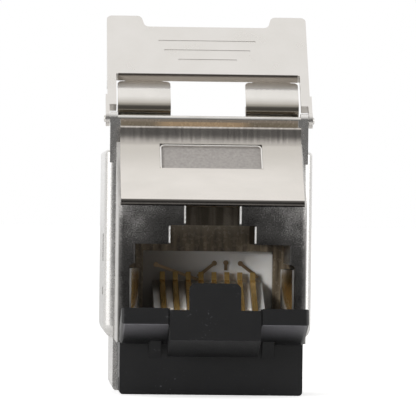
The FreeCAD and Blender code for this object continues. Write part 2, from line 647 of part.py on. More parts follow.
def contact_x(number):
    """The place across the port of a contact, counted from one on the left."""
    return (number - (CONTACTS + 1) / 2) * CONTACT_PITCH


def contact(number):
    """A gold spring wire: up through the board, forward in the floor, and back up the port."""
    line = [(CONTACT_TAIL_Y, BOARD_TOP + 0.3), (CONTACT_TAIL_Y, CONTACT_LOW),
            (CONTACT_FRONT, CONTACT_LOW), (CONTACT_FRONT - 0.3, CONTACT_LOW + 0.35),
            (CONTACT_FRONT, CONTACT_LOW + 0.7), (CONTACT_REAR, CONTACT_HIGH),
            (CONTACT_REAR + 0.25, CONTACT_HIGH + CONTACT_TIP)]
    x = contact_x(number)
    half = CONTACT_WIRE / 2
    return side_profile(ribbon(line, CONTACT_WIRE), (x - half, x + half))


def crossover_wire(ends):
    """A balancing wire laid in the insert's wall, with a round head where it starts."""
    y = INSERT_WALL_FRONT - CROSSOVER_PROUD
    start, end = [Vector(x, 0, z) for x, z in ends]
    run = end - start
    wire = Part.makeBox(run.Length, CROSSOVER_PROUD + CROSSOVER_SUNK, CROSSOVER_WIDTH,
                        Vector(0, y, -CROSSOVER_WIDTH / 2))
    wire.rotate(Vector(0, 0, 0), Vector(0, 1, 0), -math.degrees(math.atan2(run.z, run.x)))
    wire.translate(start)
    head = rod_y(CROSSOVER_HEAD_R, start.x,
                 (y - CROSSOVER_HEAD_PROUD, INSERT_WALL_FRONT + CROSSOVER_SUNK), start.z)
    return wire.fuse(head).removeSplitter()


def contact_insert(contacts):
    """The white moulding that holds the contacts apart; its channels are the contacts' own."""
    half = INSERT_WIDTH / 2
    bottom = -PORT_HEIGHT / 2
    floor = box((-half, half), (INSERT_FRONT, INSERT_BACK), (bottom, bottom + INSERT_FLOOR))
    wall = box((-half, half), (INSERT_WALL_FRONT, INSERT_BACK), (bottom, INSERT_TOP))
    wall = wall.makeFillet(0.3, edges_along(
        wall, Vector(0, 1, 0), lambda m: m.z > INSERT_TOP - 0.01))
    ribs = []
    slope = (CONTACT_HIGH - CONTACT_LOW - 0.7) / (CONTACT_REAR - CONTACT_FRONT)
    rise = CONTACT_LOW + 0.7 + (RIB_FRONT - CONTACT_FRONT) * slope
    for i in range(CONTACTS + 1):
        x = contact_x(i + 0.5)
        ribs.append(side_profile(
            [(RIB_FRONT, bottom + INSERT_FLOOR - 0.1), (RIB_FRONT, rise),
             (INSERT_WALL_FRONT + 0.1, CONTACT_HIGH + 0.1),
             (INSERT_WALL_FRONT + 0.1, bottom + INSERT_FLOOR - 0.1)],
            (x - RIB_WIDTH / 2, x + RIB_WIDTH / 2)))
    body = floor.fuse([wall] + ribs).removeSplitter()
    return body.cut(contacts)


def shield_spring():
    """The right-hand earthing strip, which bows from its pocket into the port."""
    outer = PORT_WIDTH / 2 + SPRING_POCKET_DEPTH - SHIELD_SPRING_GAP
    inner = outer - SHIELD_SPRING_SHEET
    start = SHIELD_SPRING_FRONT
    end = start + SHIELD_SPRING_LENGTH
    middle = (start + end) / 2
    edges = [
        Part.Arc(Vector(outer, start, 0), Vector(outer - SHIELD_SPRING_BOW, middle, 0),
                 Vector(outer, end, 0)).toShape(),
        Part.LineSegment(Vector(outer, end, 0), Vector(inner, end, 0)).toShape(),
        Part.Arc(Vector(inner, end, 0), Vector(inner - SHIELD_SPRING_BOW, middle, 0),
                 Vector(inner, start, 0)).toShape(),
        Part.LineSegment(Vector(inner, start, 0), Vector(outer, start, 0)).toShape(),
    ]
    low = SPRING_POCKET_BOTTOM + SPRING_POCKET_ROUND
    high = SPRING_POCKET_TOP - SPRING_POCKET_ROUND
    strip = Part.Face(Part.Wire(edges)).extrude(Vector(0, 0, high - low))
    strip.translate(Vector(0, 0, low))
    return strip


# ---- circuit board, blades and wire manager ----------------------------------------------

def blade_places():
    """The middle of each insulation-cutting blade, left row then right row."""
    places = []
    for side in (-1, 1):
        for i in range(IDC_PER_SIDE):
            places.append((side * IDC_CENTRE, IDC_FIRST + i * IDC_PITCH))
    return places


def blade(place):
    """A forked blade, with a flared slot for the wire and a tail through the board."""
    x, y = place
    half = IDC_WIDTH / 2
    slot = IDC_SLOT / 2
    tail = half * 0.3
    outline = [(x - tail, BOARD_BOTTOM - 0.3), (x - tail, BOARD_TOP), (x - half, BOARD_TOP),
               (x - half, IDC_TOP), (x - IDC_MOUTH, IDC_TOP), (x - slot, IDC_TOP - IDC_MOUTH),
               (x - slot, IDC_TOP - IDC_SLOT_DEPTH), (x + slot, IDC_TOP - IDC_SLOT_DEPTH),
               (x + slot, IDC_TOP - IDC_MOUTH), (x + IDC_MOUTH, IDC_TOP), (x + half, IDC_TOP),
               (x + half, BOARD_TOP), (x + tail, BOARD_TOP), (x + tail, BOARD_BOTTOM - 0.3)]
    return front_profile(outline, (y - IDC_SHEET / 2, y + IDC_SHEET / 2))


def circuit_board(through):
    """The board on the tub's rails, drilled for the contacts' and blades' tails."""
    half = CAVITY_HALF - BOARD_SIDE_GAP
    board = box((-half, half), (BOARD_FRONT, BOARD_BACK), (BOARD_BOTTOM, BOARD_TOP))
    return board.cut(through)


def idc_housing(blades):
    """The white block that holds the blades upright in two rows, with a groove between."""
    half = IDC_BLOCK_HALF
    top = BOARD_TOP + IDC_BLOCK_HEIGHT
    block = box((-half, half), (IDC_BLOCK_FRONT, IDC_BLOCK_BACK), (BOARD_TOP, top))
    groove = box((-IDC_GROOVE_WIDTH / 2, IDC_GROOVE_WIDTH / 2),
                 (IDC_BLOCK_FRONT - 1, IDC_BLOCK_BACK + 1), (top - IDC_GROOVE_DEPTH, top + 1))
    return block.cut([groove] + blades)


def wire_manager():
    """The white cap that lays the wires over the blades; it lifts straight off them."""
    half = MANAGER_HALF
    cap = box((-half, half), (MANAGER_FRONT, MANAGER_BACK), (MANAGER_BOTTOM, MANAGER_TOP))
    cap = cap.makeFillet(0.4, edges_along(
        cap, Vector(0, 1, 0), lambda m: m.z > MANAGER_TOP - 0.01))
    cuts = [rod_y(MANAGER_CHANNEL_R, 0, (MANAGER_FRONT + MANAGER_NOSE, MANAGER_BACK + 1), MANAGER_TOP)]
    for x, y in blade_places():
        reach = IDC_WIDTH / 2 + PART_GAP
        cuts.append(box((x - reach, x + reach),
                        (y - IDC_SHEET / 2 - PART_GAP, y + IDC_SHEET / 2 + PART_GAP),
                        (MANAGER_BOTTOM - 1, IDC_TOP + PART_GAP)))
    for i in range(IDC_PER_SIDE):
        y = IDC_FIRST + i * IDC_PITCH
        cuts += both_sides(box((IDC_CENTRE - 0.5, half + 1),
                               (y - MANAGER_SLOT / 2, y + MANAGER_SLOT / 2),
                               (IDC_TOP - IDC_SLOT_DEPTH + 1, MANAGER_TOP + 1)))
    return cap.cut(cuts)


# ---- cable end ---------------------------------------------------------------------------

def cable_clamp():
    """The plate that slides down its grooves onto the cable, with an arch and a finger lip."""
    half = CAVITY_HALF + CLAMP_GROOVE - CLAMP_GAP
    y = (CLAMP_Y, CLAMP_Y + CLAMP_THICKNESS)
    plate = box((-half, half), y, (CLAMP_BOTTOM, BODY_TOP))
    neck = box((-CABLE_R, CABLE_R), y, (BODY_TOP - 0.5, CLAMP_TOP))
    lip = box((-CABLE_R, CABLE_R), (y[0], y[1] + CLAMP_LIP), (CLAMP_TOP - 0.6, CLAMP_TOP))
    shape = plate.fuse([neck, lip]).removeSplitter()
    return shape.cut(rod_y(CABLE_R, 0, (y[0] - 1, y[1] + 1), CABLE_Z))


def earth_spring():
    """The strip in the saddle that meets the cable's braid."""
    length = (SADDLE_FRONT + 0.4, SADDLE_FRONT + 0.4 + EARTH_SPRING_WIDTH)
    outer = rod_y(CABLE_R, 0, length, CABLE_Z)
    inner = rod_y(CABLE_R - EARTH_SPRING_SHEET, 0, (length[0] - 1, length[1] + 1), CABLE_Z)
    spread = math.radians(EARTH_SPRING_SPREAD)
    reach = CABLE_R * 2
    wedge = front_profile([(0, CABLE_Z), (-reach * math.sin(spread), CABLE_Z - reach * math.cos(spread)),
                           (0, CABLE_Z - reach * 1.5),
                           (reach * math.sin(spread), CABLE_Z - reach * math.cos(spread))], length)
    return outer.cut(inner).common(wedge)


# ---- all nodes ---------------------------------------------------------------------------

def build():
    """Every sub-part by the name of its node."""
    contacts = {f"contact_{n}": contact(n) for n in range(1, CONTACTS + 1)}
    blades = {f"idc_blade_{i + 1}": blade(place) for i, place in enumerate(blade_places())}
    crossovers = {f"crossover_wire_{i + 1}": crossover_wire(ends) for i, ends in enumerate(CROSSOVERS)}
    tails = list(contacts.values()) + list(blades.values())
    spring = shield_spring()
    nodes = {
        "front_housing": front_housing(),
        "rear_housing": rear_housing(),
        "latch_leaf": latch_leaf(),
        "lid": lid(),
        "lid_spring": lid_spring(),
        "lid_hinge_pin": lid_hinge_pin(),
        "base_block": base_block(),
        "dust_flap": dust_flap(),
        "dust_flap_pin": dust_flap_pin(),
        "contact_insert": contact_insert(list(contacts.values()) + list(crossovers.values())),
        "shield_spring_right": spring,
        "shield_spring_left": spring.mirror(Vector(0, 0, 0), Vector(1, 0, 0)),
        "circuit_board": circuit_board(tails),
        "idc_housing": idc_housing(list(blades.values())),
        "wire_manager": wire_manager(),
        "cable_clamp": cable_clamp(),
        "earth_spring": earth_spring(),
    }
    nodes.update(contacts)
    nodes.update(blades)
    nodes.update(crossovers)
    return nodes


def main():
    """Writes one STEP file for each node."""
    os.makedirs("parts", exist_ok=True)
    for name, shape in build().items():
        solids = shape.Solids
        solid = solids[0] if len(solids) == 1 else shape
        if not solid.isValid() or len(solids) != 1:
            print(f"{name}: {len(solids)} solids, valid {solid.isValid()}")
        solid.exportStep(f"parts/{name}.step")


main()
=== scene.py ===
"""Studio scene of a shielded keystone jack: finishes, trim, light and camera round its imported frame."""

from __future__ import annotations

import json
import logging
import math
from dataclasses import dataclass, field
from enum import Enum
from typing import Callable, Union

import bmesh
import bpy
from mathutils import Matrix, Vector

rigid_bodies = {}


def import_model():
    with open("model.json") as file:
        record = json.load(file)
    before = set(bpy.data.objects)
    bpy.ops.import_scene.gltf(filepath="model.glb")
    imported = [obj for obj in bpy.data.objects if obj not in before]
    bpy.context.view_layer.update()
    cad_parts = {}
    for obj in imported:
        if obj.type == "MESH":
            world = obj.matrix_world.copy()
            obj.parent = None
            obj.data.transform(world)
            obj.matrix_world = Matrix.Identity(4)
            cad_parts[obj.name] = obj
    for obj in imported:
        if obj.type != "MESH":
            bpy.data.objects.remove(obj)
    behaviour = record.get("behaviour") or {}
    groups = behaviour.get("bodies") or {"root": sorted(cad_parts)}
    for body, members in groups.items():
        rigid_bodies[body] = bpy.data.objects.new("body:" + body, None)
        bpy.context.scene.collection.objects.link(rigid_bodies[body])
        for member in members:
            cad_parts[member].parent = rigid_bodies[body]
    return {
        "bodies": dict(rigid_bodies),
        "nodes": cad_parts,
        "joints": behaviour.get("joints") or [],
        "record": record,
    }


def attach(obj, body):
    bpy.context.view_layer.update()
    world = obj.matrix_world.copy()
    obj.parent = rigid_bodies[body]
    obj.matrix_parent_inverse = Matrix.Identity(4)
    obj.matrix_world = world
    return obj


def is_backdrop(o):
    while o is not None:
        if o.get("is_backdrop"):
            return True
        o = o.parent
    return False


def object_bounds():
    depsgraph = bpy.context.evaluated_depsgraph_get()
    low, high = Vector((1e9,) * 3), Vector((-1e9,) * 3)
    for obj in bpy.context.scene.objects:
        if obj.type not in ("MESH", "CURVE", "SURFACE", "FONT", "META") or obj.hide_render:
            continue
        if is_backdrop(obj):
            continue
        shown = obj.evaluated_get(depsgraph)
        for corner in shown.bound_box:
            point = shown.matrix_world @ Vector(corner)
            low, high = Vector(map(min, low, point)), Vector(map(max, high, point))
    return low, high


LOG = logging.getLogger("keystone_jack")

MM = 0.001
FADE = 0.1                      # how far one finish takes to give way to the next, in millimetres
NOISE_MIDDLE = (0.3, 0.7)       # the levels that hold nearly all of a noise
PLATING_CLOUD = 2.6             # the size of the clouds in a plated surface, in millimetres
LID_HINGE = (0.0, 8.5, 13.15)
LID_OPEN_ANGLE = 45.0
SMOOTH_ANGLE = 35.0
SAME_POINT = 1e-7               # corners nearer than this are one, in metres

Triple = tuple[float, float, float]
Colour = Triple
Place = Triple
Span = tuple[float, float]
Socket = bpy.types.NodeSocket
Value = Union[float, Socket]
Paint = Union[Colour, Socket]


class Grain(Enum):
    """How a metal surface was left by its maker, with how far its roughness swings."""

    SATIN = 0.05
    POLISHED = 0.03


class Curve(Enum):
    """How a number goes from one end of a range to the other."""

    STRAIGHT = "LINEAR"
    SMOOTH = "SMOOTHSTEP"
    SMOOTHER = "SMOOTHERSTEP"


def mm(*values: float) -> Vector:
    """Returns a point in metres from millimetres."""
    return Vector(values) * MM


def rgba(colour: Colour) -> tuple[float, float, float, float]:
    """Returns a colour with full alpha."""
    return (*colour, 1.0)


# ---- node trees --------------------------------------------------------------------------


class Graph:
    """A short hand for building a node tree."""

    def __init__(self, tree: bpy.types.NodeTree) -> None:
        """Takes a node tree and empties it.

        Args:
            tree: The tree to build in.
        """
        self.tree = tree
        self.tree.nodes.clear()

    def add(self, kind: str) -> bpy.types.Node:
        """Adds a node of the given kind."""
        return self.tree.nodes.new(kind)

    def link(self, source: Socket, target: Socket) -> None:
        """Joins two sockets."""
        self.tree.links.new(source, target)

    def feed(self, value: Union[Value, tuple[float, ...]], target: Socket) -> None:
        """Gives a socket its value, or joins it to the socket that has it.

        Args:
            value: The value, or the socket that has it.
            target: The socket to feed.
        """
        if isinstance(value, Socket):
            self.link(value, target)
        else:
            target.default_value = value

    def paint(self, colour: Paint, target: Socket) -> None:
        """Gives a socket its colour, or joins it to the socket that has it."""
        self.feed(colour if isinstance(colour, Socket) else rgba(colour), target)

    def calc(self, first: Socket, second: Value, operation: str = "ADD") -> Socket:
        """Works out a number from two others.

        Args:
            first: The first number.
            second: The second number.
            operation: The Math node's operation.

        Returns:
            The result.
        """
        node = self.add("ShaderNodeMath")
        node.operation = operation
        self.link(first, node.inputs[0])
        self.feed(second, node.inputs[1])
        return node.outputs[0]

    def scaled(self, value: Socket, amount: float) -> Socket:
        """Returns a number times an amount."""
        return self.calc(value, amount, "MULTIPLY")

    def unsigned(self, value: Socket) -> Socket:
        """Returns a number without its sign."""
        return self.calc(value, 0.0, "ABSOLUTE")

    def less(self, share: Socket, amount: float) -> Socket:
        """Returns one less an amount of a share."""
        return self.calc(self.scaled(share, -amount), 1.0)

    def both(self, *shares: Socket) -> Socket:
        """Returns the product of some shares."""
        product = shares[0]
        for share in shares[1:]:
            product = self.calc(product, share, "MULTIPLY")
        return product

    def remap(self, value: Socket, source: Span, result: Span = (0.0, 1.0),
              curve: Curve = Curve.STRAIGHT) -> Socket:
        """Maps one range of numbers to another and holds it at the ends.

        Args:
            value: The number.
            source: The range that it comes from.
            result: The range that it goes to.
            curve: How it goes from end to end.

        Returns:
            The mapped number.
        """
        node = self.add("ShaderNodeMapRange")
        node.interpolation_type = curve.value
        node.inputs["From Min"].default_value, node.inputs["From Max"].default_value = source
        node.inputs["To Min"].default_value, node.inputs["To Max"].default_value = result
        self.link(value, node.inputs["Value"])
        return node.outputs["Result"]

    def choose(self, share: Socket, first: Socket, second: Socket) -> Socket:
        """Mixes two shaders.

        Args:
            share: How much of the second there is.
            first: The first shader.
            second: The second shader.

        Returns:
            The mixed shader.
        """
        node = self.add("ShaderNodeMixShader")
        self.link(share, node.inputs["Fac"])
        self.link(first, node.inputs[1])
        self.link(second, node.inputs[2])
        return node.outputs[0]

    def glow(self, kind: str, strength: Value, colour: Colour = (1.0, 1.0, 1.0)) -> Socket:
        """Adds a shader that gives light.

        Args:
            kind: The node, for a surface or for the world.
            strength: How bright it is.
            colour: Its colour.

        Returns:
            The shader.
        """
        node = self.add(kind)
        self.feed(strength, node.inputs["Strength"])
        self.paint(colour, node.inputs["Color"])
        return node.outputs[0]


class Nodes(Graph):
    """A material's node tree, on the piece's own coordinates."""

    def __init__(self, name: str) -> None:
        """Makes an empty material.

        Args:
            name: The material's name.
        """
        self.material = bpy.data.materials.new(name)
        self.material.use_nodes = True
        super().__init__(self.material.node_tree)
        self.output = self.add("ShaderNodeOutputMaterial")
        self.shader = self.add("ShaderNodeBsdfPrincipled")
        self.link(self.shader.outputs["BSDF"], self.output.inputs["Surface"])
        self.coordinates = self.add("ShaderNodeTexCoord")

    def dress(self, colour: Paint, roughness: Value, metallic: Value = 0.0) -> None:
        """Gives the surface its look.

        Args:
            colour: Its colour.
            roughness: How rough it is.
            metallic: How much of it is bare metal.
        """
        self.paint(colour, self.shader.inputs["Base Color"])
        self.feed(roughness, self.shader.inputs["Roughness"])
        self.feed(metallic, self.shader.inputs["Metallic"])

    def noise(self, pitch: float, detail: float = 4.0, stretch: Triple = (1.0, 1.0, 1.0)) -> Socket:
        """Adds a noise.

        Args:
            pitch: The size of its grain in millimetres.
            detail: How many finer layers it has.
            stretch: How much denser it is along each axis.

        Returns:
            The noise's value.
        """
        mapping = self.add("ShaderNodeMapping")
        mapping.inputs["Scale"].default_value = stretch
        self.link(self.coordinates.outputs["Object"], mapping.inputs["Vector"])
        noise = self.add("ShaderNodeTexNoise")
        noise.inputs["Scale"].default_value = 1.0 / (pitch * MM)
        noise.inputs["Detail"].default_value = detail
        self.link(mapping.outputs["Vector"], noise.inputs["Vector"])
        return noise.outputs["Fac"]

    def ramp(self, value: Socket, levels: tuple[float, ...], *colours: Colour) -> Socket:
        """Turns a number into a colour.

        Args:
            value: The number, from nought to one.
            levels: The levels that have a colour of their own.
            colours: Those colours.

        Returns:
            The colour.
        """
        ramp = self.add("ShaderNodeValToRGB")
        elements = ramp.color_ramp.elements
        while len(elements) < len(levels):
            elements.new(0.5)
        for element, level, colour in zip(elements, levels, colours):
            element.position = level
            element.color = rgba(colour)
        self.link(value, ramp.inputs["Fac"])
        return ramp.outputs["Color"]

    def spread(self, noise: Socket, result: Span) -> Socket:
        """Maps a noise's middle part to a range of numbers."""
        return self.remap(noise, NOISE_MIDDLE, result)

    def place(self, origin: Place = (0.0, 0.0, 0.0), tilt: float = 0.0) -> dict[str, Socket]:
        """Finds the piece's own X, Y and Z in metres, in a frame tilted about X.

        Args:
            origin: The frame's origin in millimetres.
            tilt: The frame's angle about X in degrees.

        Returns:
            The three places by axis.
        """
        frame = self.add("ShaderNodeMapping")
        frame.vector_type = "TEXTURE"
        frame.inputs["Location"].default_value = mm(*origin)
        frame.inputs["Rotation"].default_value = (math.radians(tilt), 0.0, 0.0)
        self.link(self.coordinates.outputs["Object"], frame.inputs["Vector"])
        split = self.add("ShaderNodeSeparateXYZ")
        self.link(frame.outputs["Vector"], split.inputs[0])
        return {axis: split.outputs[axis] for axis in "XYZ"}

    def rise(self, value: Socket, start: float, end: float) -> Socket:
        """Rises smoothly from nought at one place to one at another, both in millimetres."""
        return self.remap(value, (start * MM, end * MM), curve=Curve.SMOOTH)

    def near(self, value: Socket, centre: float, inner: float, outer: float) -> Socket:
        """Is one within a distance of a place and nought beyond another distance, in millimetres."""
        return self.rise(self.unsigned(self.calc(value, -centre * MM)), outer, inner)

    def blend(self, share: Socket, first: Paint, second: Paint) -> Socket:
        """Blends two colours.

        Args:
            share: How much of the second colour there is.
            first: The first colour.
            second: The second colour.

        Returns:
            The blended colour.
        """
        mix = self.add("ShaderNodeMix")
        mix.data_type = "RGBA"
        self.link(share, mix.inputs[0])
        self.paint(first, mix.inputs[6])
        self.paint(second, mix.inputs[7])
        return mix.outputs[2]

    def bump(self, *heights: tuple[Socket, float]) -> None:
        """Adds bumps one on another.

        Args:
            heights: Each height with its depth in millimetres.
        """
        previous = None
        for value, depth in heights:
            bump = self.add("ShaderNodeBump")
            bump.inputs["Strength"].default_value = 1.0
            bump.inputs["Distance"].default_value = depth * MM
            self.link(value, bump.inputs["Height"])
            if previous is not None:
                self.link(previous, bump.inputs["Normal"])
            previous = bump.outputs["Normal"]
        self.link(previous, self.shader.inputs["Normal"])


# ---- finishes ----------------------------------------------------------------------------


@dataclass(frozen=True)
class MetalFinish:
    """A nickel-plated or bare metal surface."""

    name: str
    light: Colour
    dark: Colour
    grain: Grain
    roughness: float
    grain_depth: float = 0.002
    metallic: float = 1.0
    grain_pitch: float = 0.2

    def build(self) -> bpy.types.Material:
        """Returns the material."""
        nodes = Nodes(self.name)
        fine = nodes.noise(self.grain_pitch)
        colour = nodes.ramp(nodes.noise(PLATING_CLOUD), NOISE_MIDDLE, self.dark, self.light)
        swing = self.grain.value
        rough = nodes.spread(fine, (self.roughness - swing, self.roughness + swing))
        nodes.dress(colour, rough, self.metallic)
        nodes.bump((fine, self.grain_depth))
        return nodes.material


@dataclass(frozen=True)
class Notch:
    """A step in the port's outline: half its width and where its sides begin and end, in millimetres."""

    half: float
    low: float
    high: float


@dataclass(frozen=True)
class CastFace:
    """The snout's casting: dark and grainy in front under painted light and painted edge highlights, streaked
    and darkened with painted shade in the port and keyway, lighter on its sides.
    """

    name: str = "cast_face"
    roughness: Span = (0.34, 0.52)

    # the front, dark and grainy, with painted light making it lighter outwards and upwards
    light: Colour = (0.62, 0.605, 0.59)
    middle: Colour = (0.13, 0.126, 0.122)
    dark: Colour = (0.018, 0.017, 0.016)
    tone_levels: Triple = (0.40, 0.64, 0.86)
    outwards: Span = (1.8, 7.2)
    outwards_share: float = 0.19
    upwards: Span = (1.0, 7.2)
    upwards_share: float = 0.22
    cloud_pitch: float = 1.6
    cloud_share: float = 0.34
    speckle_pitch: float = 0.10
    speckle_share: float = 0.36
    speckle_depth: float = 0.024
    dent_pitch: float = 0.6
    dent_depth: float = 0.035
    face_depth: float = 0.12
    face_fade: float = 0.25

    # painted highlights on the edges of the port's steps
    edge_highlight: Colour = (0.88, 0.87, 0.85)
    edge_reach: Span = (0.05, 0.11)
    notches: tuple[Notch, ...] = (Notch(2.14, 4.95, 6.6), Notch(3.30, 3.45, 4.85))

    # the sides, and the port's walls with the keyway over them, darkened with painted shade over their
    # streaks and grain
    side: Colour = (0.70, 0.685, 0.665)
    wall: Colour = (0.46, 0.44, 0.41)
    wall_dark: Colour = (0.20, 0.18, 0.16)
    wall_pitch: float = 0.8
    wall_levels: Span = (0.35, 0.65)
    streak: Colour = (0.15, 0.13, 0.105)
    keyway_stain_and_shade: Colour = (0.065, 0.055, 0.042)
    streak_pitch: float = 0.55
    streak_stretch: Triple = (1.0, 0.12, 0.08)
    streak_levels: Span = (0.42, 0.66)
    keyway_floor: float = 3.2
    keyway_fade: float = 0.3
    port_half: float = 7.05
    port_top: float = 6.5

    def front(self, nodes: Nodes, at: dict[str, Socket], speckle: Socket) -> Socket:
        """Makes the front's colour: dark grain with painted light rising outwards and upwards, so darkest by
        the port, and painted highlights on the edges beside the notches.

        Args:
            nodes: The material's nodes.
            at: The piece's own places.
            speckle: The casting's fine grain.

        Returns:
            The colour.
        """
        side = nodes.unsigned(at["X"])
        # painted light: the front grows lighter outwards and upwards
        outwards = nodes.scaled(nodes.rise(side, *self.outwards), self.outwards_share)
        upwards = nodes.scaled(nodes.rise(at["Z"], *self.upwards), self.upwards_share)
        cloud = nodes.scaled(nodes.noise(self.cloud_pitch), self.cloud_share)
        tone = nodes.calc(nodes.calc(outwards, upwards), cloud)
        tone = nodes.calc(tone, nodes.scaled(speckle, self.speckle_share))
        colour = nodes.ramp(tone, self.tone_levels, self.dark, self.middle, self.light)
        # painted highlights along the notch edges
        for notch in self.notches:
            edge = nodes.both(nodes.near(side, notch.half, *self.edge_reach),
                              nodes.rise(at["Z"], notch.low, notch.low + FADE),
                              nodes.rise(at["Z"], notch.high, notch.high - FADE))
            colour = nodes.blend(edge, colour, self.edge_highlight)
        return colour

    def outside(self, nodes: Nodes, at: dict[str, Socket]) -> Socket:
        """Makes the colour behind the front: the sides, and the port's walls and keyway, darkened with
        painted shade over their grain and streaks.

        Args:
            nodes: The material's nodes.
            at: The piece's own places.

        Returns:
            The colour.
        """
        streaks = nodes.noise(self.streak_pitch, stretch=self.streak_stretch)
        keyway = nodes.ramp(streaks, self.streak_levels, self.keyway_stain_and_shade, self.streak)
        walls = nodes.ramp(nodes.noise(self.wall_pitch, 3.0), self.wall_levels, self.wall_dark, self.wall)
        over = nodes.rise(at["Z"], self.keyway_floor, self.keyway_floor + self.keyway_fade)
        # painted shade inside the port, over streaks in the keyway and grain on the walls
        within = nodes.both(nodes.near(at["X"], 0.0, self.port_half, self.port_half + FADE),
                            nodes.rise(at["Z"], self.port_top + FADE, self.port_top))
        return nodes.blend(within, self.side, nodes.blend(over, walls, keyway))

    def build(self) -> bpy.types.Material:
        """Returns the material."""
        nodes = Nodes(self.name)
        at = nodes.place()
        speckle = nodes.noise(self.speckle_pitch, 2.0)
        behind = nodes.rise(at["Y"], self.face_depth, self.face_depth + self.face_fade)
        colour = nodes.blend(behind, self.front(nodes, at, speckle), self.outside(nodes, at))
        nodes.dress(colour, nodes.spread(speckle, self.roughness), 1.0)
        nodes.bump((speckle, self.speckle_depth), (nodes.noise(self.dent_pitch, 2.0), self.dent_depth))
        return nodes.material


@dataclass(frozen=True)
class BodyFinish:
    """The body's plated casting, brown with painted shade and reflection under the hinge, and streaked and
    darkened with painted shade at the back of the port.
    """

    name: str = "cast_body"
    light: Colour = (0.82, 0.805, 0.785)
    dark: Colour = (0.79, 0.775, 0.755)
    roughness: Span = (0.22, 0.30)
    grain_pitch: float = 0.3
    grain_depth: float = 0.0005
    wave_pitch: float = 1.6
    wave_depth: float = 0.006
    half: float = 6.95
    dulled: float = 0.75            # how much of the metal is gone on the hinge bar and the port's back wall, where shade is painted

    # the bar under the hinge: brown painted shade and reflection, with a painted shadow line along its top
    brown: Colour = (0.42, 0.30, 0.185)
    grey_brown: Colour = (0.20, 0.165, 0.12)
    shadow: Colour = (0.24, 0.20, 0.16)
    brown_centre: float = -0.6
    brown_reach: Span = (2.6, 4.2)
    bar_low: float = 12.1
    bar_line: float = 13.0
    bar_line_fade: float = 0.12

    # the wall at the back of the port: streaks darkened with painted shade, and painted light rising to its
    # crest
    streak_dark: Colour = (0.085, 0.064, 0.042)
    streak_light: Colour = (0.30, 0.24, 0.165)
    streak_pitch: float = 0.40
    streak_stretch: Triple = (1.0, 0.1, 0.1)
    streak_levels: Span = (0.36, 0.66)
    crest_light: Colour = (0.42, 0.36, 0.28)
    crest_rise: Span = (3.7, 5.2)
    port_top: float = 6.4
    wall_back: float = 10.5

    def port_wall(self, nodes: Nodes, at: dict[str, Socket]) -> Socket:
        """Makes the port's back wall: dark streaks that are partly painted shade, with painted light rising
        to its crest.

        Args:
            nodes: The material's nodes.
            at: The piece's own places.

        Returns:
            The colour.
        """
        streaks = nodes.noise(self.streak_pitch, stretch=self.streak_stretch)
        wall = nodes.ramp(streaks, self.streak_levels, self.streak_dark, self.streak_light)
        # painted light towards the wall's crest
        return nodes.blend(nodes.rise(at["Z"], *self.crest_rise), wall, self.crest_light)

    def hinge_bar_shade(self, nodes: Nodes, at: dict[str, Socket]) -> Socket:
        """Makes the colour of the bar under the hinge: brown painted shade and reflection, brownest near its
        middle, with a painted shadow line along its top.

        Args:
            nodes: The material's nodes.
            at: The piece's own places.

        Returns:
            The colour.
        """
        browner_middle = nodes.near(at["X"], self.brown_centre, *self.brown_reach)
        line = nodes.rise(at["Z"], self.bar_line - self.bar_line_fade, self.bar_line)
        return nodes.blend(line, nodes.blend(browner_middle, self.grey_brown, self.brown), self.shadow)

    def build(self) -> bpy.types.Material:
        """Returns the material."""
        nodes = Nodes(self.name)
        at = nodes.place()
        fine = nodes.noise(self.grain_pitch)
        plated = nodes.ramp(nodes.noise(PLATING_CLOUD), NOISE_MIDDLE, self.dark, self.light)
        middle = nodes.near(at["X"], 0.0, self.half, self.half + FADE)
        port = nodes.both(middle, nodes.rise(at["Z"], self.port_top + FADE, self.port_top),
                          nodes.rise(at["Y"], self.wall_back, self.wall_back - FADE))
        bar = nodes.both(middle, nodes.rise(at["Z"], self.bar_low, self.bar_low + FADE))
        colour = nodes.blend(port, plated, self.port_wall(nodes, at))
        # painted shade and reflection on the bar under the hinge
        colour = nodes.blend(bar, colour, self.hinge_bar_shade(nodes, at))
        metallic = nodes.less(nodes.calc(bar, port, "MAXIMUM"), self.dulled)
        nodes.dress(colour, nodes.spread(fine, self.roughness), metallic)
        nodes.bump((fine, self.grain_depth), (nodes.noise(self.wave_pitch, 2.0), self.wave_depth))
        return nodes.material


